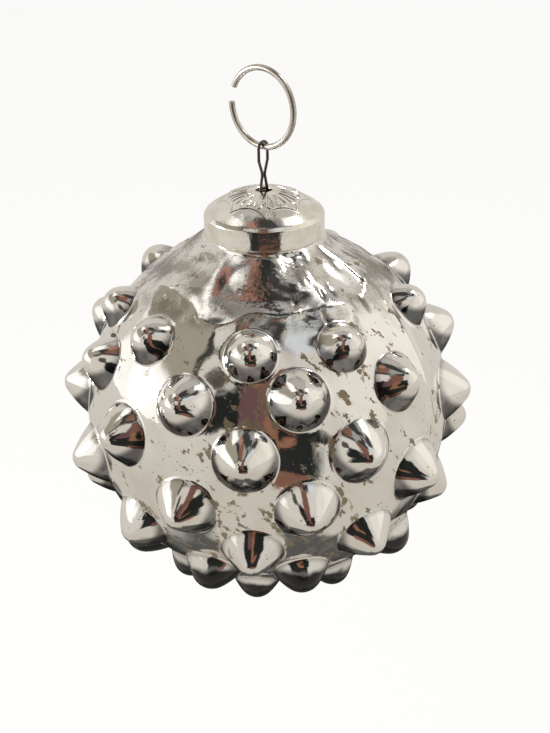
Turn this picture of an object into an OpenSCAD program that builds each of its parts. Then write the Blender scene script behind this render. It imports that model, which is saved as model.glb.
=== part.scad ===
// Blown glass ball ornament with cone-shaped spikes, a pressed metal cap,
// a bent wire hanger and an open wire ring. Millimetres, +Z up.
// The origin is the hang point, on the inside of the ring at its top.

/* [Glass ball] */
// Outside radius of the ball between its spikes
ball_r = 50; // [40:1:60]
// Thickness of the blown glass
glass_wall = 1.5; // [1:0.1:2.5]

/* [Spikes] */
// Radius of the largest spikes at their foot
spike_r = 8.8; // [6:0.1:9]
// Height of the largest spikes above the ball
spike_h = 7.2; // [5:0.1:10]
// Share of its size that a spike loses in the top row
spike_loss = 0.23; // [0:0.01:0.4]
// Number of spikes in each full row
spikes_per_row = 9; // [7:1:10]
// Number of spikes in the bottom row
spikes_in_last_row = 8; // [5:1:8]

/* [Mould seam] */
// How far the seam stands above the ball
seam_h = 0.25; // [0.1:0.05:0.4]

/* [Neck] */
// Outside radius of the open neck under the cap
neck_r = 15.3; // [12:0.1:18]
// Height of the neck above its shoulder
neck_h = 4.5; // [3:0.1:5.5]
// Radius at which the shoulder leaves the round of the ball
shoulder_r = 28; // [24:0.5:32]
// How far the shoulder stands above the ball at the neck
shoulder_rise = 2.2; // [1.5:0.1:3]

/* [Cap] */
// Thickness of the pressed sheet metal
cap_sheet = 0.45; // [0.3:0.05:0.6]
// Height of the plain upright band
band_h = 5.95; // [5:0.05:8]
// Height of the domed top above the band
dome_h = 5.9; // [4:0.1:8]
// Radius of the hole for the hanger wire
cap_hole_r = 2.1; // [1.9:0.1:3]
// Height of the pressed pattern above the dome
emboss_h = 0.3; // [0.2:0.05:0.4]
// Number of petals in the pressed pattern
petals = 16; // [12:2:18]

/* [Hanger wire] */
// Radius of the hanger wire
hanger_wire_r = 0.4; // [0.3:0.05:0.5]
// Half the distance between the two legs of the loop
loop_half_w = 1.75; // [1.6:0.05:2.2]
// Height of the ring wire above the top of the cap
loop_h = 11.6; // [9:0.1:16]

/* [Ring] */
// Radius of the ring at the centre of its wire
ring_r = 10.2; // [8:0.1:14]
// Radius of the ring wire
ring_wire_r = 0.8; // [0.6:0.05:0.9]
// Opening of the ring, in degrees of its circle
ring_gap = 24; // [16:1:40]

/* [Hidden] */
$fn = 96;

// Clearances
cap_fit = 0.25;      // between the neck and the band of the cap
seat_gap = 0.1;      // between the cap and the shoulder, and the legs and the neck
hinge_gap = 0.06;    // between the loop and the ring wire that it swings on

// Latitudes of the rows of spikes, from the top row down
top_row_lat = 40;
row_pitch = 16;
last_row = 6;
largest_lat = -8;    // latitude at which the spikes are largest
spike_start = -48;   // azimuth of the first spike in the even rows
last_row_turn = -10; // how far the bottom row is turned from that
seam_azimuth = 101;  // one side of the mould seam, which goes right round the ball

// How far each spike that was moulded off its even place lies from it, as
// [azimuth, latitude] in degrees: one list for each row, in the order of the spikes
DRIFT = [
    [[6, -1], [0, -2], [2, -1], [-3, -1], [4, 0]],
    [[-1, 0], [1, -1], [-2, 2], [-6, 0]],
    [[0, 0], [-1, 0], [1, 1], [-4, 0], [6, 0], [4, 0], [2, 0]],
    [[-2, 0], [2, -1], [-1, 0], [-2, 2]],
    [[0, 0], [0, 0], [2, -1], [1, 0], [8, -3], [5, 0], [3, 0]],
    [[4, 0], [4, 0], [0, 0], [6, 0]],
    []
];

// Shape of a spike. The gains are added in full in the top and bottom rows, where the
// spikes are the bluntest.
waist_share = 0.74;  // radius where the steep foot gives way to the cone, to that of the foot
waist_gain = 0.14;
waist_height = 0.38; // its height, to that of the whole spike
tip_share = 0.57;    // radius of the ball that rounds the tip, to that of the waist
tip_gain = 0.36;
root_depth = 0.8;    // how far the foot reaches into the glass
root_flare = 0.35;
wire_step = 0.02;    // how much thinner than its bends the straights of a wire are
wire_lap = 0.1;      // how far they reach into the bends

// Heights above the centre of the ball
neck_base_z = sqrt(ball_r * ball_r - neck_r * neck_r) + shoulder_rise;
shoulder_z = sqrt(ball_r * ball_r - shoulder_r * shoulder_r) - 0.4;
shoulder_slope = (neck_base_z - shoulder_z) / (shoulder_r - neck_r);
neck_top_z = neck_base_z + neck_h;

// The cap stands with its inner edge just above the slope of the shoulder
cap_in_r = neck_r + cap_fit;
cap_r = cap_in_r + cap_sheet;
rim_z = neck_base_z - cap_fit * shoulder_slope + seat_gap;
band_z = rim_z + band_h;
dome_r = (cap_r * cap_r + dome_h * dome_h) / (2 * dome_h);
dome_centre_z = band_z + dome_h - dome_r;
cap_top_z = band_z + dome_h;

// The pressed pattern on the dome
pattern_turn = 6.25;           // azimuth of its first petal
star_tip_r = 0.79 * cap_r;

// The ring wire runs through the loop on this axis, which is the hinge
hinge_z = cap_top_z + loop_h;
hang_z = hinge_z + 2 * ring_r - ring_wire_r;

// Places every piece from the centre of the ball to the hang point
module from_ball_centre() {
    translate([0, 0, -hang_z]) children();
}

// Turns +Z to the given latitude and azimuth on the ball
module at_spot(latitude, azimuth) {
    rotate([90 - latitude, 0, azimuth]) children();
}

// 0 for the row with the largest spikes, and 1 for the top row
function fade(latitude) = pow((latitude - largest_lat) / (top_row_lat - largest_lat), 2);

// A spike on a ball of radius r_ball: a steep foot up to its waist, a cone and a round tip
module spike(r_foot, height, r_ball, blunt) {
    foot_z = sqrt(r_ball * r_ball - r_foot * r_foot);
    tip_z = r_ball + height;
    waist_r = (waist_share + waist_gain * blunt) * r_foot;
    waist_z = foot_z + waist_height * (tip_z - foot_z);
    tip_r = (tip_share + tip_gain * blunt) * waist_r;
    waist_from_tip = [waist_r, waist_z - tip_z + tip_r];
    // How far above the centre of the tip the cone runs into its round
    tip_lift = atan2(waist_from_tip[1], waist_r) + acos(tip_r / norm(waist_from_tip));
    cone_r = tip_r * cos(tip_lift);
    cone_z = tip_z - tip_r + tip_r * sin(tip_lift);
    rotate_extrude($fn = 48) {
        polygon([
            [0, foot_z - root_depth],
            [r_foot + root_flare, foot_z - root_depth],
            [waist_r, waist_z],
            [cone_r, cone_z],
            [0, cone_z]
        ]);
        intersection() {
            translate([0, tip_z - tip_r]) circle(tip_r, $fn = 32);
            translate([0, waist_z]) square([tip_r, 2 * height]);
        }
    }
}

// Every spike of the ball; "inset" is 0 for the outside of the glass, and the
// thickness of the glass for the hollows inside
module spikes(inset) {
    in_full_rows = last_row * spikes_per_row;
    for (n = [0 : in_full_rows + spikes_in_last_row - 1]) {
        row = n < in_full_rows ? floor(n / spikes_per_row) : last_row;
        count = row == last_row ? spikes_in_last_row : spikes_per_row;
        k = n - row * spikes_per_row;
        drift = k < len(DRIFT[row]) ? DRIFT[row][k] : [0, 0];
        stagger = row == last_row ? last_row_turn : row % 2 == 0 ? 0 : 180 / count;
        even_lat = top_row_lat - row * row_pitch;
        blunt = fade(even_lat);
        share = 1 - spike_loss * blunt;
        at_spot(even_lat + drift[1], spike_start + stagger + k * 360 / count + drift[0])
            spike(spike_r * share - inset, spike_h * share - inset / 3, ball_r - inset, blunt);
    }
}

// The line that the two halves of the mould left round the ball
module mould_seam() {
    bead_r = 0.6;
    rotate([90, 0, seam_azimuth - 90]) rotate_extrude($fn = 180)
        translate([ball_r + seam_h - bead_r, 0]) circle(bead_r, $fn = 24);
}

// Half section of the ball, its shoulder and its neck, "inset" inside the glass
module ball_section(inset, top_z) {
    slope_drop = inset * sqrt(1 + shoulder_slope * shoulder_slope);
    intersection() {
        circle(ball_r - inset, $fn = 180);
        translate([0, -ball_r]) square([ball_r, 2 * ball_r]);
    }
    polygon([
        [0, shoulder_z - slope_drop],
        [shoulder_r, shoulder_z - slope_drop],
        [neck_r - inset, neck_base_z + inset * shoulder_slope - slope_drop],
        [0, neck_base_z + inset * shoulder_slope - slope_drop]
    ]);
    translate([0, shoulder_z]) square([neck_r - inset, top_z - shoulder_z]);
}

module glass_body() {
    color("silver")
    from_ball_centre()
    difference() {
        union() {
            rotate_extrude() ball_section(0, neck_top_z);
            spikes(0);
            mould_seam();
        }
        union() {
            rotate_extrude() ball_section(glass_wall, neck_top_z + 1);
            spikes(glass_wall);
        }
    }
}

// Half section of the sheet of the cap: an upright band under a dome
module cap_section(grow) {
    intersection() {
        translate([0, dome_centre_z]) circle(dome_r + grow, $fn = 240);
        translate([0, rim_z - 1]) square([cap_r + grow, cap_top_z + 1]);
    }
}

// Flat plan of the pressed pattern: the outlines of long petals around a smooth
// collar, inside a star that has one point for every two petals
module petal_pattern() {
    ridge_w = 0.5;
    petal_start_r = 4.6;
    petal_end_r = 0.55 * cap_r;
    start_w = 0.7;
    end_w = 1.25;
    for (k = [0 : petals - 1]) rotate(pattern_turn + k * 360 / petals) difference() {
        petal(petal_start_r, petal_end_r, start_w, end_w);
        petal(petal_start_r, petal_end_r, start_w - ridge_w, end_w - ridge_w);
    }
    difference() {
        star(star_tip_r);
        star(star_tip_r - 1.5 * ridge_w);
    }
}

module petal(start_r, end_r, start_w, end_w) {
    polygon([[start_r, -start_w], [end_r, -end_w], [end_r, end_w], [start_r, start_w]]);
    translate([end_r, 0]) circle(end_w, $fn = 32);
}

// A star with hollow sides and blunt points
module star(tip_r) {
    points = petals / 2;
    half_side = tip_r * sin(180 / points);
    side_depth = 0.12 * tip_r;
    side_r = (half_side * half_side + side_depth * side_depth) / (2 * side_depth);
    side_centre_r = tip_r * cos(180 / points) - side_depth + side_r;
    difference() {
        circle(0.97 * tip_r);
        for (k = [0 : points - 1]) rotate(pattern_turn + (k + 0.25) * 360 / points)
            translate([side_centre_r, 0]) circle(side_r, $fn = 120);
    }
}

module cap() {
    color("lightgray")
    from_ball_centre() {
        rotate_extrude() difference() {
            cap_section(0);
            cap_section(-cap_sheet);
            translate([0, rim_z - 2]) square([cap_hole_r, cap_top_z]);
            translate([0, rim_z - 2]) square([2 * cap_r, 2]);
        }
        intersection() {
            rotate_extrude() difference() {
                translate([0, dome_centre_z]) circle(dome_r + emboss_h, $fn = 240);
                translate([0, dome_centre_z]) circle(dome_r - cap_sheet / 2, $fn = 240);
                translate([-2 * dome_r, dome_centre_z - 2 * dome_r])
                    square([2 * dome_r, 4 * dome_r]);
            }
            translate([0, 0, band_z]) linear_extrude(2 * dome_h) petal_pattern();
        }
    }
}

// Round wire along flat points, with every corner between them bent to bend_r.
// The straights are a touch thinner than the bends and reach a little way into them.
module bent_wire(points, wire_r, bend_r) {
    last = len(points) - 1;
    function heading(i) =
        atan2(points[i + 1][1] - points[i][1], points[i + 1][0] - points[i][0]);
    function turn(i) = i <= 0 || i >= last ? 0 : heading(i) - heading(i - 1);
    function setback(i) = bend_r * tan(abs(turn(i)) / 2) - wire_lap;
    for (i = [0 : last - 1])
        translate(points[i]) rotate(heading(i)) translate([setback(i), 0])
            rotate([0, 90, 0])
                cylinder(h = norm(points[i + 1] - points[i]) - setback(i) - setback(i + 1),
                         r = wire_r - wire_step, $fn = 24);
    for (i = [1 : last - 1])
        translate(points[i]) rotate(heading(i - 1))
            translate([-setback(i) - wire_lap, sign(turn(i)) * bend_r])
                rotate(turn(i) > 0 ? -90 : 90 + turn(i))
                    rotate_extrude(angle = abs(turn(i)))
                        translate([bend_r, 0]) circle(wire_r, $fn = 24);
}

module hanger_wire() {
    bend_r = 1.6;
    crown_z = hinge_z + ring_wire_r + hinge_gap + hanger_wire_r - loop_half_w;
    pinch_z = cap_top_z + 4.2;
    leg_out = neck_r - glass_wall - seat_gap - hanger_wire_r;
    leg = [
        [loop_half_w, crown_z],
        [loop_half_w, crown_z - 3.2],
        [0.42, pinch_z],
        [1.5, cap_top_z - cap_sheet],
        [2.4, cap_top_z - 2.4],
        [leg_out, neck_top_z - 2],
        [leg_out, neck_base_z - 3]
    ];
    color("dimgray")
    from_ball_centre() rotate([90, 0, 90]) {
        translate([0, crown_z]) rotate_extrude(angle = 180)
            translate([loop_half_w, 0]) circle(hanger_wire_r, $fn = 24);
        for (side = [0, 1]) mirror([side, 0]) bent_wire(leg, hanger_wire_r, bend_r);
    }
}

module hang_ring() {
    color("gainsboro")
    from_ball_centre() translate([0, 0, hinge_z + ring_r]) rotate([90, 0, 0])
        rotate(180) rotate_extrude(angle = 360 - ring_gap, $fn = 120)
            translate([ring_r, 0]) circle(ring_wire_r, $fn = 32);
}

glass_body();
cap();
hanger_wire();
hang_ring();
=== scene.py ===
"""Looks of the silvered glass ornament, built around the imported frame.

Lengths are in millimetres from the centre of the ball, until place() turns them into metres.
"""

import math

import bpy
import numpy as np
from mathutils import Matrix, Vector
from mathutils.geometry import delaunay_2d_cdt


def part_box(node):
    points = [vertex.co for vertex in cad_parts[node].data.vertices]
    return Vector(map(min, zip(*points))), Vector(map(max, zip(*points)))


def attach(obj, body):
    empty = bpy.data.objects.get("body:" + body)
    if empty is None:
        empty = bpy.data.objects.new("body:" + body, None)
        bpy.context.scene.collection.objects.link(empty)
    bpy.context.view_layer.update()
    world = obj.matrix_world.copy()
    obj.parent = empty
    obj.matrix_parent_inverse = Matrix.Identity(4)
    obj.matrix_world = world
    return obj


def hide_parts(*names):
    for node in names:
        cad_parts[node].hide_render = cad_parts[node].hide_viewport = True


MM = 0.001
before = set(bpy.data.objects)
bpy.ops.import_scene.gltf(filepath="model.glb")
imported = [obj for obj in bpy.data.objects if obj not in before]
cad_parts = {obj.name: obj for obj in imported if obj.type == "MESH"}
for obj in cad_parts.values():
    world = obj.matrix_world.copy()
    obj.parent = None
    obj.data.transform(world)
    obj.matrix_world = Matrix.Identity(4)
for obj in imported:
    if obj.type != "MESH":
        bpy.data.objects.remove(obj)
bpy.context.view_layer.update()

# Sizes that the source of the part holds too
BALL_R = 50.0
GLASS_WALL = 1.5
NECK_R = 15.3
NECK_H = 4.5
SHOULDER_R = 28.0
SHOULDER_RISE = 2.2
CAP_FIT = 0.25
SEAT_GAP = 0.1
CAP_SHEET = 0.45
CAP_R = NECK_R + CAP_FIT + CAP_SHEET
BAND_H = 5.95
DOME_H = 5.9
CAP_HOLE_R = 2.1
EMBOSS_H = 0.3
PETALS = 16
PATTERN_TURN = 6.25
STAR_TIP_R = 0.79 * CAP_R
SPIKE_R = 8.8
SPIKE_H = 7.2
SPIKE_LOSS = 0.23
SPIKES_PER_ROW = 9
SPIKES_IN_LAST_ROW = 8
TOP_ROW_LAT = 40.0
ROW_PITCH = 16.0
LAST_ROW = 6
LARGEST_LAT = -8.0
SPIKE_START = -48.0
LAST_ROW_TURN = -10.0
DRIFT = [
    [(6, -1), (0, -2), (2, -1), (-3, -1), (4, 0)],
    [(-1, 0), (1, -1), (-2, 2), (-6, 0)],
    [(0, 0), (-1, 0), (1, 1), (-4, 0), (6, 0), (4, 0), (2, 0)],
    [(-2, 0), (2, -1), (-1, 0), (-2, 2)],
    [(0, 0), (0, 0), (2, -1), (1, 0), (8, -3), (5, 0), (3, 0)],
    [(4, 0), (4, 0), (0, 0), (6, 0)],
    [],
]
SEAM_AZIMUTH = 101.0
SEAM_H = 0.25
WAIST_SHARE = 0.74
WAIST_GAIN = 0.14
TIP_SHARE = 0.57
TIP_GAIN = 0.36

# How steep a spike is on its cone and at its foot, in degrees from its own base, and the
# radius of the hollow round its foot
CONE_LEAN = 43.0
FOOT_LEAN = 61.0
HOLLOW_R = 1.5
# The rings of points round a spike, as shares of its foot radius
RING_SHARES = [
    0, 0.07, 0.15, 0.24, 0.32, 0.4, 0.48, 0.56, 0.64, 0.72, 0.79, 0.85, 0.9, 0.935, 0.96,
    0.98, 0.997, 1.012, 1.027, 1.043, 1.06, 1.09, 1.14, 1.22,
]
# The first of the rows round the bottom that are domed and nearly black
FIRST_DARK_ROW = 5
# The latitude above which the glass is lumpy from the drawing of its neck
CROWN_LAT = 43.0
# Points round the neck of the glass and round the cap; their insides have a quarter as many
GLASS_COLUMNS = 240
CAP_COLUMNS = 480
NECK_ROWS = 5

# Heights above the centre of the ball
NECK_BASE_Z = math.sqrt(BALL_R**2 - NECK_R**2) + SHOULDER_RISE
SHOULDER_Z = math.sqrt(BALL_R**2 - SHOULDER_R**2) - 0.4
SHOULDER_SLOPE = (NECK_BASE_Z - SHOULDER_Z) / (SHOULDER_R - NECK_R)
NECK_TOP_Z = NECK_BASE_Z + NECK_H
RIM_Z = NECK_BASE_Z - CAP_FIT * SHOULDER_SLOPE + SEAT_GAP
BAND_Z = RIM_Z + BAND_H
DOME_R = (CAP_R**2 + DOME_H**2) / (2 * DOME_H)
DOME_CENTRE_Z = BAND_Z + DOME_H - DOME_R

# The centre of the ball in the frame, found from the rim of the cap
BALL_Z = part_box("cap")[0].z / MM - RIM_Z

# The view of the photograph
CAMERA_AZIMUTH = 40.0
CAMERA_ELEVATION = 27.24
CAMERA_DISTANCE = 7.5 * BALL_R
CAMERA_ROLL = -0.96
CAMERA_LENS = 65.2
FRAME_RIGHT_OF_BALL = 2.19
FRAME_ABOVE_BALL = 8.9
FLOOR_BELOW_BALL = 260.0


def direction(azimuth, elevation):
    """Unit vector at an azimuth from the -Y side and an elevation, in degrees."""
    a = math.radians(azimuth)
    e = math.radians(elevation)
    return Vector((math.sin(a) * math.cos(e), -math.cos(a) * math.cos(e), math.sin(e)))


FRONT = direction(CAMERA_AZIMUTH, 0)
RIGHT = Vector((0, 0, 1)).cross(FRONT)
# The way that the flakes of the silvering are drawn out
SLANT = (Vector((0, 0, 1)) * math.cos(math.radians(35)) - RIGHT * math.sin(math.radians(35)))


def make_camera():
    back = direction(CAMERA_AZIMUTH, CAMERA_ELEVATION)
    up = back.cross(RIGHT)
    ball = Vector((0, 0, BALL_Z))
    spot = ball + back * CAMERA_DISTANCE
    target = ball + RIGHT * FRAME_RIGHT_OF_BALL + up * FRAME_ABOVE_BALL
    data = bpy.data.cameras.new("camera")
    data.lens = CAMERA_LENS
    data.sensor_width = 36.0
    data.clip_start = 0.01
    data.clip_end = 20.0
    camera = bpy.data.objects.new("camera", data)
    bpy.context.scene.collection.objects.link(camera)
    turn = (spot - target).to_track_quat("Z", "Y").to_matrix()
    camera.matrix_world = (
        Matrix.Translation(spot * MM)
        @ turn.to_4x4()
        @ Matrix.Rotation(math.radians(CAMERA_ROLL), 4, "Z")
    )
    bpy.context.scene.camera = camera


# Arrays of points


def lattice(cells, seed):
    """Even random values from -1 to 1 for whole-number cells, the same each run."""
    h = (
        cells[..., 0].astype(np.uint64) * np.uint64(73856093)
        ^ cells[..., 1].astype(np.uint64) * np.uint64(19349663)
        ^ cells[..., 2].astype(np.uint64) * np.uint64(83492791)
        ^ np.uint64(seed * 2654435761)
    )
    h = (h ^ (h >> np.uint64(13))) * np.uint64(1274126177)
    h = (h ^ (h >> np.uint64(16))) & np.uint64(0xFFFFFF)
    return h.astype(float) / float(0x7FFFFF) - 1.0


def smooth_noise(points, size, seed):
    """Soft noise from about -1 to 1 over points, with bumps about one size across."""
    p = points / size + 4096.0
    low = np.floor(p).astype(np.int64)
    t = p - low
    t = t * t * (3 - 2 * t)
    total = 0.0
    for corner in np.ndindex(2, 2, 2):
        step = np.array(corner)
        weight = np.prod(np.where(step == 1, t, 1 - t), axis=-1)
        total = total + weight * lattice(low + step, seed)
    return total


def smooth_max(a, b, width):
    """The larger of two arrays, rounded over where they cross."""
    return b + width * np.logaddexp(0.0, (a - b) / width)


def ease(x, start, end):
    """0 before start, 1 after end, and a smooth rise between them."""
    t = np.clip((x - start) / (end - start), 0.0, 1.0)
    return t * t * (3 - 2 * t)


def lathe_points(rho, z, columns, start_turn=0.0):
    """Points of a turned surface, one row for each step of its section."""
    turn = math.radians(start_turn) + np.arange(columns) * 2 * math.pi / columns
    x = rho[:, None] * np.sin(turn)[None, :]
    y = -rho[:, None] * np.cos(turn)[None, :]
    return np.stack([x, y, np.broadcast_to(z[:, None], x.shape)], axis=-1)


def grid_faces(first, rows, columns, flip=False):
    """Quads of a grid of points whose columns close on themselves."""
    i, j = np.meshgrid(np.arange(rows - 1), np.arange(columns), indexing="ij")
    k = (j + 1) % columns
    quads = first + np.stack(
        [i * columns + j, i * columns + k, (i + 1) * columns + k, (i + 1) * columns + j], axis=-1
    ).reshape(-1, 4)
    return quads[:, ::-1].tolist() if flip else quads.tolist()


def join_rims(outer, inner, flip=False):
    """Faces between a ring of points and one with a quarter as many."""
    faces = []
    for j, a in enumerate(inner):
        b = inner[(j + 1) % len(inner)]
        ring = [outer[(4 * j + k) % len(outer)] for k in range(5)]
        faces += [(ring[0], ring[1], a), (ring[1], ring[2], a), (ring[2], b, a)]
        faces += [(ring[2], ring[3], b), (ring[3], ring[4], b)]
    return [face[::-1] for face in faces] if flip else faces


def place(name, points, faces, body, material, attributes=None):
    """Makes a smooth piece from points in millimetres about the centre of the ball."""
    mesh = bpy.data.meshes.new(name)
    placed = (np.asarray(points) + np.array([0, 0, BALL_Z])) * MM
    mesh.from_pydata(placed.tolist(), [], faces)
    mesh.polygons.foreach_set("use_smooth", [True] * len(mesh.polygons))
    for key, values in (attributes or {}).items():
        layer = mesh.attributes.new(key, "FLOAT", "POINT")
        layer.data.foreach_set("value", np.asarray(values, dtype=np.float32))
    mesh.update()
    piece = bpy.data.objects.new(name, mesh)
    bpy.context.scene.collection.objects.link(piece)
    mesh.materials.append(material)
    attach(piece, body)
    return piece


# The glass ball


def spike_axes():
    """Direction, foot radius, height, bluntness and darkness of every spike."""
    axes = []
    for row in range(LAST_ROW + 1):
        count = SPIKES_IN_LAST_ROW if row == LAST_ROW else SPIKES_PER_ROW
        stagger = 0.0 if row % 2 == 0 else 180.0 / count
        if row == LAST_ROW:
            stagger = LAST_ROW_TURN
        even_lat = TOP_ROW_LAT - row * ROW_PITCH
        blunt = ((even_lat - LARGEST_LAT) / (TOP_ROW_LAT - LARGEST_LAT)) ** 2
        share = 1 - SPIKE_LOSS * blunt
        for k in range(count):
            turn, lift = DRIFT[row][k] if k < len(DRIFT[row]) else (0, 0)
            axis = direction(SPIKE_START + stagger + k * 360.0 / count + turn, even_lat + lift)
            dark = row >= FIRST_DARK_ROW
            roundness = max(blunt, 0.9) if dark else blunt
            axes.append((np.array(axis), SPIKE_R * share, SPIKE_H * share, roundness, dark))
    return axes


def spike_outline(foot_r, height, blunt):
    """Outline of a spike from its tip down to its foot and out along the ball, as angles from
    its axis at the centre of the ball, distances from that centre and shares of the foot
    radius: a round tip, a cone, an ever steeper foot and a hollow where it runs into the ball."""
    tip_r = (TIP_SHARE + TIP_GAIN * blunt) * (WAIST_SHARE + WAIST_GAIN * blunt) * foot_r
    r = np.linspace(0.0, foot_r, 400)
    cone_start = tip_r * math.sin(math.radians(CONE_LEAN))
    past = np.maximum(r - cone_start, 0.0) / (foot_r - cone_start)
    lean = np.radians(CONE_LEAN + (FOOT_LEAN - CONE_LEAN) * past ** (2.0 - 0.9 * blunt))
    slope = np.tan(np.where(r < cone_start, np.arcsin(np.minimum(r / tip_r, 1.0)), lean))
    drop = np.concatenate([[0.0], np.cumsum((slope[1:] + slope[:-1]) / 2 * np.diff(r))])
    foot_z = math.sqrt(BALL_R**2 - foot_r**2)
    z = BALL_R + height - drop * (BALL_R + height - foot_z) / drop[-1]

    # The hollow is an arc that touches the foot and the ball
    steep = math.atan2(z[-20] - z[-1], r[-1] - r[-20])
    normal = np.array([math.sin(steep), math.cos(steep)])
    reach = (HOLLOW_R + foot_r * normal[0] + foot_z * normal[1]) / (BALL_R + HOLLOW_R)
    centre_turn = steep - math.acos(reach)
    centre = (BALL_R + HOLLOW_R) * np.array([math.sin(centre_turn), math.cos(centre_turn)])
    arc = np.linspace(steep, centre_turn, 40)
    arc_r = centre[0] - HOLLOW_R * np.sin(arc)
    arc_z = centre[1] - HOLLOW_R * np.cos(arc)
    flank = r < arc_r[0] - 0.01
    beyond = np.linspace(centre_turn, 1.5 * foot_r / BALL_R, 30)[1:]
    r = np.concatenate([r[flank], arc_r, BALL_R * np.sin(beyond)])
    z = np.concatenate([z[flank], arc_z, BALL_R * np.cos(beyond)])
    return np.arctan2(r, z), np.hypot(r, z), r / foot_r


def plain_reach(heading):
    """Distance of the plain ball and its shoulder from the centre, in each direction."""
    rise = heading[:, 2]
    wide = np.hypot(heading[:, 0], heading[:, 1])
    cone = (NECK_BASE_Z + SHOULDER_SLOPE * NECK_R) / np.maximum(
        rise + SHOULDER_SLOPE * wide, 0.2
    )
    above_ball = smooth_max(cone, np.full_like(cone, BALL_R), 0.3) - BALL_R
    on_shoulder = ease(-BALL_R * wide, -SHOULDER_R, 1.5 - SHOULDER_R) * (rise > 0)
    return BALL_R + above_ball * on_shoulder


def even_headings(spacing):
    """Unit vectors spread evenly over the ball, about one spacing apart."""
    count = int(4 * math.pi * BALL_R**2 / (0.866 * spacing**2))
    k = np.arange(count) + 0.5
    rise = 1 - 2 * k / count
    turn = math.pi * (1 + math.sqrt(5)) * k
    wide = np.sqrt(1 - rise**2)
    return np.stack([wide * np.cos(turn), wide * np.sin(turn), rise], axis=1)


def seam_turn_of(heading):
    """Distance of each direction from the mould seam, in millimetres on the ball."""
    turn = np.arctan2(heading[:, 0], -heading[:, 1]) - math.radians(SEAM_AZIMUTH)
    return BALL_R * np.sin(turn) * np.hypot(heading[:, 0], heading[:, 1])


def rim_headings(rim_lat):
    """Directions of the ring of points where the ball meets its neck."""
    step = 360.0 / GLASS_COLUMNS
    return np.array([direction(k * step, rim_lat) for k in range(GLASS_COLUMNS)])


def glass_headings(spikes, rim_lat):
    """Directions of all points of the outside of the ball: rings round each spike, closest
    where it bends the most, lines along the seam, and an even scatter between them."""
    foot_angles = np.array([spike[1] for spike in spikes]) / BALL_R
    axes = np.array([spike[0] for spike in spikes])

    def nearness(heading):
        return np.arccos(np.clip(heading @ axes.T, -1.0, 1.0)) / foot_angles

    kept = []
    for number, (axis, foot_r, height, blunt, _) in enumerate(spikes):
        gaps, _, shares = spike_outline(foot_r, height, blunt)
        side = np.cross(axis, (0.0, 0.0, 1.0))
        side /= np.linalg.norm(side)
        over = np.cross(side, axis)
        for ring, share in enumerate(RING_SHARES):
            count = 1 if share == 0 else 16 if share < 0.2 else 32 if share < 0.5 else 48
            turn = (np.arange(count) + 0.5 * (ring % 2)) * 2 * math.pi / count
            gap = np.interp(share, shares, gaps)
            around = np.cos(turn)[:, None] * side + np.sin(turn)[:, None] * over
            heading = math.cos(gap) * axis + math.sin(gap) * around
            near = nearness(heading)
            kept.append(heading[near.argmin(axis=1) == number])

    lat = np.arange(-89.0, rim_lat, 1.15)
    for half in (0, 180):
        for offset in (-1.5, -0.9, -0.55, -0.27, 0.0, 0.27, 0.55, 0.9, 1.5):
            turned = SEAM_AZIMUTH + half + np.degrees(offset / BALL_R / np.cos(np.radians(lat)))
            line = np.array([direction(a, e) for a, e in zip(turned, lat)])
            kept.append(line[(nearness(line).min(axis=1) > 1.25) & (lat > -86)])

    for spacing, low, high in ((1.1, -91.0, CROWN_LAT), (0.66, CROWN_LAT, rim_lat - 0.5)):
        heading = even_headings(spacing)
        lat = np.degrees(np.arcsin(heading[:, 2]))
        free = (lat >= low) & (lat < high) & (nearness(heading).min(axis=1) > 1.32)
        kept.append(heading[free & (np.abs(seam_turn_of(heading)) > 2.0)])

    kept = np.concatenate(kept)
    kept = kept[kept[:, 2] < math.sin(math.radians(rim_lat - 0.4))]
    return np.concatenate([rim_headings(rim_lat), kept])


def spread_mesh(heading):
    """Triangles between the directions, and the directions in the order that those use."""
    # Seen from the top of the ball, the mesh of its directions is flat
    flat = heading[:, :2] / (1 - heading[:, 2])[:, None]
    made = delaunay_2d_cdt([Vector(p) for p in flat.tolist()], [], [], 0, 1e-9, True)
    first_point = np.array([source[0] for source in made[3]])
    return heading[first_point], [tuple(face) for face in made[2]]


def spike_maps(heading, spikes):
    """Distance of the surface in each direction, then what its look needs there: the share of
    the foot radius, how far down a flank it is, and whether the spike is nearly black."""
    out = plain_reach(heading)
    share_map = np.full(len(heading), 1.5)
    under = np.zeros(len(heading))
    nearly_black = np.zeros(len(heading))
    for axis, foot_r, height, blunt, dark in spikes:
        gaps, reach, shares = spike_outline(foot_r, height, blunt)
        gap = np.arccos(np.clip(heading @ axis, -1.0, 1.0))
        near = gap < gaps[-1]
        out[near] = np.maximum(out[near], np.interp(gap[near], gaps, reach))
        share = np.interp(gap[near], gaps, shares)
        closer = share < share_map[near]
        share_map[near] = np.where(closer, share, share_map[near])
        down = -(heading[near] - axis)[:, 2] / np.maximum(gap[near], 0.01)
        under[near] = np.where(closer, down, under[near])
        nearly_black[near] = np.where(closer, dark, nearly_black[near])
    return out, share_map, under, nearly_black


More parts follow.
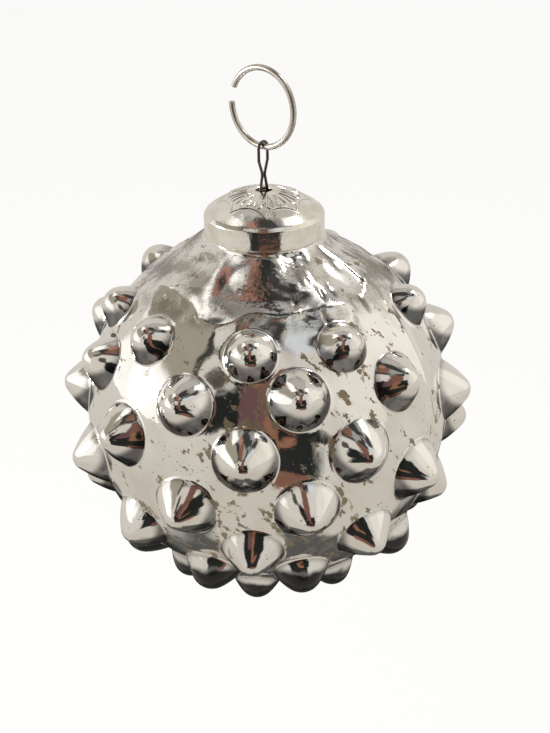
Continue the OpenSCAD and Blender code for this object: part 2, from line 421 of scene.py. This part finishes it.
def hand_blown(heading, share_map, rim_lat):
    """How far the glass is pushed out or in by hand and mould, with how lumpy and how dented
    it is: the wave of the wall, the swell round each foot, the lumps, ridge and dents where the
    glass was drawn in to the neck, and the mould seam."""
    up_angle = np.degrees(np.arcsin(heading[:, 2]))
    points = heading * BALL_R
    on_spike = 1 - ease(share_map, 0.9, 1.15)
    below_rim = 1 - ease(up_angle, rim_lat - 2.5, rim_lat - 0.3)
    crown = ease(up_angle, 38, 50) * below_rim

    wave = 0.2 * smooth_noise(points, 17.0, 1) + 0.09 * smooth_noise(points, 8.0, 2)
    swell = np.exp(-np.maximum(share_map - 1.0, 0.0) / 0.14) * (share_map > 0.95)
    swell *= 0.12 + 0.1 * smooth_noise(points, 6.0, 6)

    bent = points + 3.0 * smooth_noise(points, 11.0, 7)[:, None]
    lumps = 0.72 * smooth_noise(bent, 7.5, 3) + 0.1 * smooth_noise(points, 3.6, 4)
    ridge_lat = 50.5 + 7.0 * smooth_noise(points + 50.0, 10.0, 9)
    ridge = np.exp(-(((up_angle - ridge_lat) / 1.5) ** 2))
    lumps += ridge * (0.24 + 0.16 * smooth_noise(points, 5.0, 10))
    turn = np.degrees(np.arctan2(heading[:, 0], -heading[:, 1]))
    along = np.stack([turn / 3.2, up_angle / 7.0, np.zeros(len(turn))], axis=1)
    dents = ease(smooth_noise(along + 40.0, 1.0, 8), 0.2, 0.6) * ease(points @ RIGHT, 2.0, 12.0)
    lumps -= 0.2 * dents

    seam = np.exp(-((seam_turn_of(heading) / 0.5) ** 2))
    push = wave * (1 - on_spike) * below_rim + swell * (1 - on_spike) + crown * lumps
    push -= 0.04 * on_spike
    push += SEAM_H * seam * (1 - on_spike) * below_rim
    return push, crown, dents * crown


def close_glass(surface, heading, faces, rim_lat):
    """Adds the neck, the inside and the ground rim between them to the outside of the ball."""
    columns = GLASS_COLUMNS
    inner_columns = columns // 4
    up = np.linspace(0.0, 1.0, NECK_ROWS + 1)[1:]
    neck = lathe_points(np.full(NECK_ROWS, NECK_R), NECK_BASE_Z + up * NECK_H, columns)
    angle = np.radians(np.arange(4.0, 90.0 + rim_lat, 4.0))
    inner_r = BALL_R - GLASS_WALL - 0.5
    inner_rho = np.append(inner_r * np.sin(angle), [NECK_R - GLASS_WALL] * 2)
    inner_z = np.append(-inner_r * np.cos(angle), [NECK_BASE_Z, NECK_TOP_Z])
    inner = lathe_points(inner_rho, inner_z, inner_columns)
    inner_rows = len(inner_rho)

    first_neck = len(surface)
    first_inner = first_neck + NECK_ROWS * columns
    last_inner = first_inner + (inner_rows - 1) * inner_columns
    bottom = last_inner + inner_columns
    parts = [surface, neck.reshape(-1, 3), inner.reshape(-1, 3), [[0, 0, -inner_r]]]

    a, b, c = (surface[list(faces[0])[k]] for k in range(3))
    if np.dot(np.cross(b - a, c - a), a) < 0:
        faces = [face[::-1] for face in faces]
    point_at = {tuple(np.round(heading[i], 9)): i for i in range(len(heading))}
    rows = [[point_at[tuple(np.round(way, 9))] for way in rim_headings(rim_lat)]]
    rows += [[first_neck + r * columns + k for k in range(columns)] for r in range(NECK_ROWS)]
    for low_row, high_row in zip(rows, rows[1:]):
        faces += [
            (low_row[k], low_row[(k + 1) % columns], high_row[(k + 1) % columns], high_row[k])
            for k in range(columns)
        ]
    faces += grid_faces(first_inner, inner_rows, inner_columns, flip=True)
    faces += [
        (bottom, first_inner + j, first_inner + (j + 1) % inner_columns)
        for j in range(inner_columns)
    ]
    faces += join_rims(rows[-1], range(last_inner, bottom))
    return np.concatenate(parts), faces


def glass():
    spikes = spike_axes()
    rim_lat = math.degrees(math.atan2(NECK_BASE_Z, NECK_R))
    heading, faces = spread_mesh(glass_headings(spikes, rim_lat))
    out, share_map, under, nearly_black = spike_maps(heading, spikes)
    push, crown, dents = hand_blown(heading, share_map, rim_lat)
    surface = heading * (out + push)[:, None]
    points, faces = close_glass(surface, heading, faces, rim_lat)
    looks = {"crown": crown, "dents": dents, "nearly_black": nearly_black, "share": share_map, "under": under}
    inside = len(points) - len(surface)
    piece = place(
        "silvered_ball",
        points,
        faces,
        "ornament",
        glass_material(),
        {name: np.append(values, np.full(inside, values[0])) for name, values in looks.items()},
    )
    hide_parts("glass_body")


# The cap


def nearest_on_petals(r, turn):
    """Distance to the outline of the nearest petal, and how far inside it a point is."""
    pitch = 2 * math.pi / PETALS
    off = (turn - math.radians(PATTERN_TURN) + pitch / 2) % pitch - pitch / 2
    x = r * np.cos(off)
    y = np.abs(r * np.sin(off))
    start, end = 4.6, 0.55 * CAP_R
    half = 0.55 + (1.25 - 0.55) * np.clip((x - start) / (end - start), 0, 1)
    side = np.where(x < end, y - half, np.hypot(x - end, y) - 1.25)
    return np.where(x < start, np.hypot(start - x, np.maximum(side, 0)) + 0.3, side)


def star_edge(turn, tip_r):
    """Radius of the star with hollow sides, in each direction."""
    points = PETALS // 2
    pitch = 2 * math.pi / points
    off = (turn - math.radians(PATTERN_TURN) - pitch / 4 + pitch / 2) % pitch - pitch / 2
    half_side = tip_r * math.sin(pitch / 2)
    depth = 0.12 * tip_r
    side_r = (half_side**2 + depth**2) / (2 * depth)
    centre = tip_r * math.cos(pitch / 2) - depth + side_r
    return centre * np.cos(off) - np.sqrt(np.maximum(side_r**2 - (centre * np.sin(off)) ** 2, 0))


def cap_section():
    """Radius and height of the outside, from the lower rim up the band and over to the hole."""
    corner_angle = math.asin((BAND_Z - DOME_CENTRE_Z) / DOME_R)
    band_up = np.concatenate([[0.0, 0.08, 0.25], np.linspace(0.6, BAND_H - 0.9, 8)])
    rho = list(CAP_R - 0.12 * np.exp(-band_up / 0.12))
    z = list(RIM_Z + band_up)
    corner_r = 1.1
    turn_in = math.pi / 2 - math.atan2(DOME_R * math.sin(corner_angle), CAP_R)
    for t in np.linspace(0.0, 1.0, 7)[1:]:
        angle = t * (math.pi / 2 - turn_in) * 0.98
        rho.append(CAP_R - corner_r * (1 - math.cos(angle)) * 0.9)
        z.append(BAND_Z - 0.75 + corner_r * math.sin(angle) * 0.9)
    for r in np.linspace(rho[-1] - 0.25, CAP_HOLE_R + 0.25, 58):
        rho.append(r)
        z.append(DOME_CENTRE_Z + math.sqrt(DOME_R**2 - r**2))
    return np.array(rho), np.array(z)


def press_cap(flat):
    """The outside of the cap with its rosette, star and small dents, and how raised it is."""
    r = np.hypot(flat[:, 0], flat[:, 1])
    turn = np.arctan2(flat[:, 1], flat[:, 0])
    on_dome = ease(flat[:, 2], BAND_Z + 0.2, BAND_Z + 1.0)

    petal = nearest_on_petals(r, turn)
    ridge = np.exp(-((petal + 0.25) ** 2) / 0.045)
    hollow = 0.35 * ease(-petal, 0.3, 0.7)
    star = r - star_edge(turn, STAR_TIP_R)
    border = np.exp(-((star + 0.4) ** 2) / 0.09)
    inside = 0.35 * (1 - ease(star, -0.5, 0.4))
    collar = 0.5 * (1 - ease(r, 3.2, 4.4))
    press = np.maximum(ridge * (1 - ease(r, 10.2, 10.8)), np.maximum(border, inside)) - hollow
    press = np.maximum(press, collar)

    dents = 0.1 * smooth_noise(flat, 4.5, 21) + 0.05 * smooth_noise(flat, 2.0, 22)
    upright = np.stack([flat[:, 0], flat[:, 1], flat[:, 2] - DOME_CENTRE_Z], axis=1)
    upright /= np.linalg.norm(upright, axis=1)[:, None]
    band_out = np.stack([flat[:, 0] / r, flat[:, 1] / r, np.zeros(len(r))], axis=1)
    outward = upright * on_dome[:, None] + band_out * (1 - on_dome)[:, None]
    push = EMBOSS_H * press * on_dome + dents * on_dome * 0.5 + 0.4 * dents * (1 - on_dome)
    return flat + outward * push[:, None], np.maximum(ridge, border) * on_dome


def cap():
    rho, z = cap_section()
    flat = lathe_points(rho, z, CAP_COLUMNS).reshape(-1, 3)
    surface, raised = press_cap(flat)

    # The sheet turns in at the hole and comes back underneath
    inner_columns = CAP_COLUMNS // 4
    inner_r = np.concatenate([[CAP_HOLE_R], np.linspace(CAP_HOLE_R + 0.3, CAP_R - 1.2, 10)])
    inner_z = DOME_CENTRE_Z + np.sqrt((DOME_R - CAP_SHEET) ** 2 - inner_r**2)
    inner_r = np.append(inner_r, [CAP_R - CAP_SHEET] * 3)
    inner_z = np.append(inner_z, [BAND_Z - 1.2, BAND_Z - 3.0, RIM_Z])
    inner = lathe_points(inner_r, inner_z, inner_columns)
    first = len(flat)
    last_inner = first + (len(inner_r) - 1) * inner_columns
    faces = grid_faces(0, len(rho), CAP_COLUMNS)
    faces += grid_faces(first, len(inner_r), inner_columns)
    faces += join_rims(range(first - CAP_COLUMNS, first), range(first, first + inner_columns))
    rim = range(last_inner, last_inner + inner_columns)
    faces += join_rims(range(CAP_COLUMNS), rim, flip=True)
    points = np.concatenate([surface, inner.reshape(-1, 3)])
    raised = np.append(raised, np.zeros(len(points) - first))
    piece = place(
        "pressed_cap", points, faces, "ornament", cap_material(), {"raised": raised}
    )
    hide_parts("cap")


# Materials

SILVER = (0.90, 0.885, 0.855)
TARNISHED_SILVER = (0.83, 0.80, 0.745)
# Painted shade for the low part of each spike's flank
PAINTED_FLANK_SHADE = (0.13, 0.13, 0.135)
SOOT = (0.22, 0.195, 0.165)
# Painted shade for the dents of the crown
PAINTED_DENT_SHADE = (0.10, 0.095, 0.085)
# Colour of the lowest rows of spikes, nearly black but on their upper side
NEARLY_BLACK = (0.016, 0.0155, 0.012)
SPECK = (0.16, 0.14, 0.11)
DARK_KHAKI = (0.185, 0.14, 0.075)
KHAKI = (0.30, 0.24, 0.15)


class Graph:
    """Writes shader nodes; every method returns the output that the next one takes."""

    def __init__(self, tree):
        self.tree = tree
        self.tree.nodes.clear()

    def put(self, socket, value):
        if isinstance(value, bpy.types.NodeSocket):
            self.tree.links.new(value, socket)
        elif value is not None:
            socket.default_value = value

    def node(self, kind, inputs=(), output=0, **settings):
        made = self.tree.nodes.new(kind)
        for key, value in settings.items():
            setattr(made, key, value)
        for key, value in dict(inputs).items():
            self.put(made.inputs[key], value)
        return made.outputs[output] if made.outputs else None

    def math(self, operation, a, b=None, c=None):
        return self.node("ShaderNodeMath", {0: a, 1: b, 2: c}, operation=operation)

    def vector(self, operation, a, b=None, output=0):
        return self.node("ShaderNodeVectorMath", {0: a, 1: b}, output, operation=operation)

    def scale(self, vector, by):
        return self.node("ShaderNodeVectorMath", {0: vector, "Scale": by}, operation="SCALE")

    def millimetres(self):
        return self.scale(self.node("ShaderNodeTexCoord", output="Object"), 1 / MM)

    def noise(self, at, scale, detail=2.0, rough=0.5, output=0):
        inputs = {"Vector": at, "Scale": scale, "Detail": detail, "Roughness": rough}
        return self.node("ShaderNodeTexNoise", inputs, output)

    def cells(self, at, scale, feature="F1"):
        inputs = {"Vector": at, "Scale": scale}
        return self.node("ShaderNodeTexVoronoi", inputs, "Distance", feature=feature)

    def ease(self, x, low, high, start=0.0, end=1.0):
        return self.node(
            "ShaderNodeMapRange",
            {0: x, 1: low, 2: high, 3: start, 4: end},
            interpolation_type="SMOOTHSTEP",
        )

    def band(self, x, rise, fall):
        """1 between a rise and a fall, each given by its start and its end."""
        return self.math("MULTIPLY", self.ease(x, *rise), self.ease(x, *fall, 1.0, 0.0))

    def mix(self, share, a, b):
        made = self.tree.nodes.new("ShaderNodeMix")
        made.data_type = "RGBA"
        for key, value in (("Factor_Float", share), ("A_Color", a), ("B_Color", b)):
            socket = next(s for s in made.inputs if s.identifier == key)
            self.put(socket, value + (1.0,) if isinstance(value, tuple) else value)
        return next(s for s in made.outputs if s.identifier == "Result_Color")

    def attribute(self, name):
        return self.node("ShaderNodeAttribute", output="Fac", attribute_name=name)

    def bump(self, height, distance, strength=1.0, under=None):
        return self.node(
            "ShaderNodeBump",
            {"Height": height, "Distance": distance, "Strength": strength, "Normal": under},
        )


def new_material(name):
    material = bpy.data.materials.new(name)
    material.use_nodes = True
    return material, Graph(material.node_tree)


def finish_material(graph, constants, **linked):
    shader = graph.tree.nodes.new("ShaderNodeBsdfPrincipled")
    for key, value in constants.items():
        shader.inputs[key].default_value = value
    for key, socket in linked.items():
        graph.tree.links.new(socket, shader.inputs[key.replace("_", " ")])
    output = graph.tree.nodes.new("ShaderNodeOutputMaterial")
    graph.tree.links.new(shader.outputs[0], output.inputs["Surface"])


def glass_material():
    """Aged silvering behind glass: bright metal with lifted flakes, specks and tarnish."""
    material, g = new_material("foxed_silver_glass")
    at = g.millimetres()
    crown = g.ease(g.attribute("crown"), 0.45, 1.0)
    share = g.attribute("share")
    under = g.attribute("under")
    crease = g.band(share, (0.93, 1.02), (1.08, 1.22))
    spike = g.ease(share, 0.9, 1.05, 1.0, 0.0)
    # Where the painted shade lies: from each spike's foot up its flank, reaching higher towards
    # the tip on the downward side
    start = g.ease(under, -0.7, 0.9, 0.86, 0.42)
    flank = g.ease(g.math("SUBTRACT", share, start), 0.0, 0.22)
    flank = g.math("MULTIPLY", flank, g.ease(share, 0.96, 1.0, 1.0, 0.0))

    # Flakes of lost silvering: ragged islands, thickest in patches and at the spikes' feet
    bend = g.noise(at, 0.5, 3.0, 0.6, output="Color")
    warped = g.vector("ADD", at, g.scale(bend, 2.4))
    turned = Matrix((FRONT.cross(SLANT), FRONT, SLANT)).transposed().to_euler()
    drawn = g.node(
        "ShaderNodeMapping",
        {"Vector": warped, "Rotation": tuple(turned), "Scale": (1.0, 1.0, 2.0)},
        vector_type="TEXTURE",
    )
    island = g.noise(drawn, 0.4, 5.0, 0.6)
    patches = g.noise(at, 0.055, 2.0, 0.5)
    facing = g.vector("DOT_PRODUCT", at, tuple(FRONT / BALL_R), output="Value")
    crowd = g.math("MULTIPLY", g.ease(patches, 0.42, 0.62), 0.075)
    crowd = g.math("ADD", crowd, g.math("MULTIPLY", crease, 0.035))
    crowd = g.math("SUBTRACT", crowd, g.math("MULTIPLY", spike, 0.09))
    crowd = g.math("ADD", crowd, g.ease(facing, 0.3, 0.95, 0.0, 0.02))
    level = g.math("SUBTRACT", 0.665, crowd)
    flake = g.ease(g.math("SUBTRACT", island, level), 0.0, 0.012)

    # Small dark specks
    speck_cell = g.cells(g.vector("ADD", at, g.scale(bend, 0.6)), 0.75)
    speck_size = g.ease(g.noise(at, 0.12, 2.0), 0.46, 0.7, 0.0, 0.2)
    speck = g.math("LESS_THAN", speck_cell, speck_size)

    tarnish = g.noise(at, 0.09, 4.0, 0.6)
    grain = g.noise(at, 2.6, 3.0, 0.7)
    soot = g.ease(g.math("MULTIPLY_ADD", grain, 0.5, tarnish), 0.66, 0.86)
    soot = g.math("MULTIPLY", g.math("MULTIPLY", crown, soot), 0.6)

    silver = g.mix(g.ease(tarnish, 0.35, 0.7), SILVER, TARNISHED_SILVER)
    silver = g.mix(soot, silver, SOOT)
    # Painted shade in the crown's dents
    silver = g.mix(g.math("MULTIPLY", g.attribute("dents"), 0.8), silver, PAINTED_DENT_SHADE)

    # Painted shade low on each flank, deepest on its downward side, and the lowest spikes
    # coloured nearly black, silvery only on their upper side
    painted_flank_shade = g.math("MULTIPLY", flank, g.ease(g.noise(at, 0.25, 2.0), 0.25, 0.6, 0.75, 0.97))
    silver = g.mix(painted_flank_shade, silver, PAINTED_FLANK_SHADE)
    tip_side = g.math("SUBTRACT", share, g.math("MULTIPLY", under, 0.45))
    tip_side = g.math("ADD", tip_side, g.math("MULTIPLY_ADD", g.noise(at, 0.2), 0.3, -0.15))
    nearly_black = g.math("MULTIPLY", g.attribute("nearly_black"), g.ease(tip_side, 0.98, 1.14, 1.0, 0.0))
    silver = g.mix(nearly_black, silver, NEARLY_BLACK)
    silver = g.mix(g.math("MULTIPLY", speck, 0.75), silver, SPECK)
    colour = g.mix(flake, silver, g.mix(g.noise(at, 0.9, 3.0), DARK_KHAKI, KHAKI))
    # Less sheen at the edges where the painted flank shade, the nearly black spikes and the soot
    # are
    dull = g.math("MAXIMUM", g.math("MAXIMUM", painted_flank_shade, nearly_black), soot)
    edge = g.mix(dull, (1.0, 1.0, 1.0), (0.15, 0.15, 0.15))

    gone = g.math("MAXIMUM", flake, g.math("MULTIPLY", speck, 0.6))
    metal = g.math("SUBTRACT", 1.0, g.math("MULTIPLY", g.math("MAXIMUM", gone, nearly_black), 0.85))
    rough = g.math("ADD", g.ease(tarnish, 0.4, 0.75, 0.045, 0.09), g.math("MULTIPLY", gone, 0.3))
    rough = g.math("ADD", rough, g.math("MULTIPLY", crown, g.ease(grain, 0.35, 0.7, 0.0, 0.05)))

    # Faint unevenness everywhere, and grain and a net of fine creases in the crown
    height = g.math("MULTIPLY", g.noise(at, 0.35, 3.0, 0.45), 0.5)
    normal = g.bump(height, 0.00012, 0.5)
    grainy = g.math("MULTIPLY", grain, g.math("ADD", g.math("MULTIPLY", crown, 0.94), 0.06))
    normal = g.bump(grainy, 0.00003, 0.4, normal)
    net = g.cells(g.vector("ADD", at, g.scale(bend, 0.7)), 0.95, "SMOOTH_F1")
    netted = g.math("MULTIPLY", crown, g.ease(g.noise(at, 0.1, 2.0), 0.52, 0.62))
    normal = g.bump(g.math("MULTIPLY", net, netted), 0.00016, 0.4, normal)
    finish_material(
        g,
        {"Coat Weight": 0.35, "Coat Roughness": 0.02, "Coat IOR": 1.5},
        Base_Color=colour,
        Specular_Tint=edge,
        Metallic=metal,
        Roughness=rough,
        Normal=normal,
    )
    return material


def cap_material():
    """Thin pressed sheet, silver-bright on its raised lines and darker round them."""
    material, g = new_material("pressed_cap_sheet")
    at = g.millimetres()
    raised = g.attribute("raised")
    stain = g.noise(at, 0.22, 4.0, 0.6)
    fine = g.noise(at, 3.2, 3.0, 0.6)
    pits = g.math("LESS_THAN", g.cells(at, 0.55), g.ease(g.noise(at, 0.3), 0.5, 0.75, 0.0, 0.16))
    colour = g.mix(g.ease(stain, 0.35, 0.7), (0.95, 0.93, 0.89), (0.80, 0.75, 0.66))
    edge = g.band(raised, (0.08, 0.3), (0.4, 0.75))
    colour = g.mix(g.math("MULTIPLY", edge, 0.55), colour, (0.30, 0.27, 0.23))
    colour = g.mix(g.ease(raised, 0.5, 0.9), colour, (1.0, 0.99, 0.97))
    colour = g.mix(g.math("MULTIPLY", pits, 0.8), colour, (0.16, 0.13, 0.10))
    rough = g.math("ADD", g.ease(stain, 0.35, 0.75, 0.05, 0.12), g.math("MULTIPLY", fine, 0.04))
    normal = g.bump(fine, 0.00003, 0.3)
    normal = g.bump(g.noise(at, 0.8, 2.0), 0.00012, 0.3, normal)
    finish_material(g, {"Metallic": 1.0}, Base_Color=colour, Roughness=rough, Normal=normal)
    return material


def dark_wire_material():
    """Blackened steel wire with a rusty place above the cap."""
    material, g = new_material("blackened_wire")
    at = g.millimetres()
    mottle = g.noise(at, 1.4, 4.0, 0.65)
    rust = g.ease(mottle, 0.55, 0.68)
    colour = g.mix(g.noise(at, 5.0, 2.0), (0.05, 0.048, 0.045), (0.13, 0.12, 0.11))
    colour = g.mix(rust, colour, (0.24, 0.115, 0.06))
    rough = g.ease(rust, 0.0, 1.0, 0.3, 0.75)
    metal = g.ease(rust, 0.0, 1.0, 0.9, 0.25)
    normal = g.bump(mottle, 0.00012, 0.6)
    finish_material(g, {}, Base_Color=colour, Roughness=rough, Metallic=metal, Normal=normal)
    return material


def bright_wire_material():
    """Nickel-bright drawn wire with faint lines along it."""
    material, g = new_material("bright_wire")
    at = g.millimetres()
    lines = g.noise(at, 4.0, 3.0, 0.6)
    dull = g.noise(at, 0.35, 3.0, 0.6)
    colour = g.mix(g.ease(dull, 0.35, 0.7), (0.70, 0.66, 0.61), (0.45, 0.40, 0.35))
    rough = g.math("ADD", g.ease(dull, 0.3, 0.75, 0.16, 0.34), g.math("MULTIPLY", lines, 0.06))
    normal = g.bump(lines, 0.00004, 0.4)
    finish_material(g, {"Metallic": 1.0}, Base_Color=colour, Roughness=rough, Normal=normal)
    return material


# Surroundings

WALL = (0.68, 0.65, 0.60)
CEILING_DARK = (0.05, 0.049, 0.048)
CEILING_LIGHT = (0.36, 0.355, 0.34)
# What the silver mirrors: soft-edged panels as turns to the right of the camera and lifts above
# the horizon, in degrees, with the softness of their edges and their colour, back to front
PANELS = [
    (-120, -40, -40, -4, 6, (0.80, 0.75, 0.66)),
    (-120, -62, -8, 24, 4, (1.12, 1.11, 1.07)),
    (-125, -58, 25, 56, 4, (0.37, 0.34, 0.28)),
    (-59, -51, 36, 56, 2, (0.05, 0.048, 0.042)),
    (-44, -32, 28, 38, 1.5, (0.09, 0.08, 0.062)),
    (-52, -34, -24, -8, 3, (0.09, 0.075, 0.055)),
    (48, 84, -30, 44, 6, (0.82, 0.79, 0.72)),
    (78, 122, -6, 50, 5, (0.95, 0.91, 0.84)),
    (130, 180, 56, 76, 5, (0.50, 0.48, 0.45)),
    (-180, -130, 56, 76, 5, (0.50, 0.48, 0.45)),
    (-180, 180, 80, 100, 2, (0.05, 0.05, 0.048)),
    (90, 128, 50, 68, 3, (1.25, 1.22, 1.17)),
    (-130, -92, 49, 66, 3, (1.25, 1.22, 1.17)),
    (26, 60, 50, 62, 4, (0.70, 0.74, 0.78)),
    (-112, -60, 70, 84, 3, (0.42, 0.22, 0.17)),
    (-60, -20, 64, 80, 3, (0.24, 0.12, 0.08)),
    (-34, 34, -26, 30, 2.5, (0.018, 0.020, 0.019)),
    (-16, 10, 26, 56, 2, (0.20, 0.10, 0.075)),
    (-19, -5, 12, 30, 1.5, (0.14, 0.075, 0.075)),
    (-6, 4, 0, 26, 1.5, (0.27, 0.13, 0.08)),
    (3, 17, -16, 4, 1.5, (0.30, 0.145, 0.095)),
]
# The floor as the silver mirrors it, a painted reflection that glows for glossy rays only:
# dark in an oval under and behind the ball, and in the strip that runs ahead of it, with its
# brown core
FLOOR_NEAR = (0.60, 0.56, 0.50)
FLOOR_FAR = (0.68, 0.65, 0.60)
FLOOR_UNDER = (0.10, 0.097, 0.09)
FLOOR_BEHIND = (0.022, 0.022, 0.020)
OVAL_BACK = 205.0
OVAL_LENGTH = 335.0
OVAL_WIDTH = 210.0
FLOOR_STREAK = (0.26, 0.25, 0.23)
STRIP_START = (540.0, 620.0)
STRIP = (0.02, 0.022, 0.020)
STRIP_CORE = (0.22, 0.105, 0.075)


def panel_share(g, turn, lift, panel):
    left, right, low, high, soft, _ = panel
    share = g.ease(turn, left - soft, left + soft) if left > -180 else 1.0
    if right < 180:
        share = g.math("MULTIPLY", share, g.ease(turn, right - soft, right + soft, 1.0, 0.0))
    share = g.math("MULTIPLY", share, g.ease(lift, low - soft, low + soft))
    if high < 90:
        share = g.math("MULTIPLY", share, g.ease(lift, high - soft, high + soft, 1.0, 0.0))
    return share


def make_world():
    world = bpy.data.worlds.new("studio")
    world.use_nodes = True
    bpy.context.scene.world = world
    g = Graph(world.node_tree)
    ray = g.node("ShaderNodeTexCoord", output="Generated")
    x = g.vector("DOT_PRODUCT", ray, tuple(RIGHT), output="Value")
    y = g.vector("DOT_PRODUCT", ray, tuple(FRONT), output="Value")
    z = g.vector("DOT_PRODUCT", ray, (0, 0, 1), output="Value")
    wobble = g.math("MULTIPLY_ADD", g.noise(ray, 2.2, 4.0, 0.6), 26.0, -13.0)
    elsewhere = g.vector("ADD", ray, (7.0, 3.0, 5.0))
    sway = g.math("MULTIPLY_ADD", g.noise(elsewhere, 3.1, 4.0, 0.6), 26.0, -13.0)
    turn = g.math("ADD", g.math("DEGREES", g.math("ARCTAN2", x, y)), wobble)
    lift = g.math("ADD", g.math("DEGREES", g.math("ARCSINE", z)), sway)
    cloud = g.ease(g.noise(ray, 3.4, 2.0, 0.5), 0.46, 0.56)
    ceiling = g.mix(cloud, CEILING_DARK, CEILING_LIGHT)
    colour = g.mix(g.ease(lift, 49.0, 59.0), WALL, ceiling)
    for panel in PANELS:
        colour = g.mix(panel_share(g, turn, lift, panel), colour, panel[-1])
    seen = g.node("ShaderNodeLightPath", output="Is Camera Ray")
    colour = g.mix(seen, colour, (1.0, 1.0, 1.0))
    shade = g.node("ShaderNodeBackground", {"Color": colour, "Strength": 1.0})
    g.node("ShaderNodeOutputWorld", {"Surface": shade})


def make_floor():
    """A pale floor well below the ornament; the silver sees its near part light."""
    mesh = bpy.data.meshes.new("floor")
    reach = 4000.0
    corners = [(-reach, -reach), (reach, -reach), (reach, reach), (-reach, reach)]
    height = BALL_Z - FLOOR_BELOW_BALL
    mesh.from_pydata([(x * MM, y * MM, height * MM) for x, y in corners], [], [(0, 1, 2, 3)])
    material, g = new_material("pale_floor")
    at = g.millimetres()
    ahead = g.vector("DOT_PRODUCT", at, tuple(FRONT), output="Value")
    aside = g.vector("DOT_PRODUCT", at, tuple(RIGHT), output="Value")
    back = g.math("DIVIDE", g.math("ADD", ahead, OVAL_BACK), OVAL_LENGTH)
    wide = g.math("DIVIDE", aside, OVAL_WIDTH)
    oval = g.math("SQRT", g.math("MULTIPLY_ADD", back, back, g.math("MULTIPLY", wide, wide)))
    oval = g.math("ADD", oval, g.math("MULTIPLY_ADD", g.noise(at, 0.012, 4.0), 0.7, -0.35))
    far = g.vector("LENGTH", g.vector("MULTIPLY", at, (1, 1, 0)), output="Value")
    mirrored = g.mix(g.ease(far, 300.0, 900.0), FLOOR_NEAR, FLOOR_FAR)
    streak = g.noise(at, 0.03, 4.0, 0.65)
    under = g.mix(g.ease(ahead, -190.0, -60.0), FLOOR_BEHIND, FLOOR_UNDER)
    under = g.mix(g.ease(streak, 0.5, 0.72, 0.0, 0.7), under, FLOOR_STREAK)
    mirrored = g.mix(g.ease(oval, 0.88, 1.12), under, mirrored)
    turn = g.math("DEGREES", g.math("ARCTAN2", aside, ahead))
    strip = g.ease(g.math("ABSOLUTE", turn), 26.0, 33.0, 1.0, 0.0)
    strip = g.math("MULTIPLY", strip, g.ease(far, *STRIP_START))
    mirrored = g.mix(strip, mirrored, STRIP)
    core = g.band(turn, (-13.0, -10.0), (23.0, 25.0))
    core = g.math("MULTIPLY", core, g.band(far, (470.0, 520.0), (760.0, 800.0)))
    mirrored = g.mix(core, mirrored, STRIP_CORE)
    path = g.tree.nodes.new("ShaderNodeLightPath")
    pale = g.node("ShaderNodeBsdfDiffuse", {"Color": (0.93, 0.93, 0.92, 1.0)})
    white = g.node("ShaderNodeEmission", {"Color": (1, 1, 1, 1), "Strength": 1.1})
    seen = g.node("ShaderNodeMixShader", {0: 0.75, 1: pale, 2: white})
    # The floor glows with this painted reflection for glossy rays only
    glow = g.node("ShaderNodeEmission", {"Color": mirrored})
    shade = g.node("ShaderNodeMixShader", {0: path.outputs["Is Glossy Ray"], 1: seen, 2: glow})
    g.node("ShaderNodeOutputMaterial", {"Surface": shade})
    mesh.materials.append(material)
    floor = bpy.data.objects.new("floor", mesh)
    bpy.context.scene.collection.objects.link(floor)


def make_light(name, turn, lift, distance, size, power):
    data = bpy.data.lights.new(name, "AREA")
    data.size = size * MM
    data.energy = power
    lamp = bpy.data.objects.new(name, data)
    bpy.context.scene.collection.objects.link(lamp)
    aim = direction(CAMERA_AZIMUTH + turn, lift)
    spot = Vector((0, 0, BALL_Z)) + aim * distance
    facing = aim.to_track_quat("Z", "Y").to_matrix().to_4x4()
    lamp.matrix_world = Matrix.Translation(spot * MM) @ facing


def main():
    make_camera()
    make_world()
    make_floor()
    make_light("left_lamp", -88, 10, 900, 240, 3.0)
    make_light("right_lamp", 112, 58, 900, 130, 1.2)
    glass()
    cap()
    for node, material in (
        ("hanger_wire", dark_wire_material()),
        ("hang_ring", bright_wire_material()),
    ):
        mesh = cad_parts[node].data
        mesh.materials.clear()
        mesh.materials.append(material)
        for polygon in mesh.polygons:
            polygon.material_index = 0
    bpy.context.scene.view_settings.view_transform = "Standard"


main()
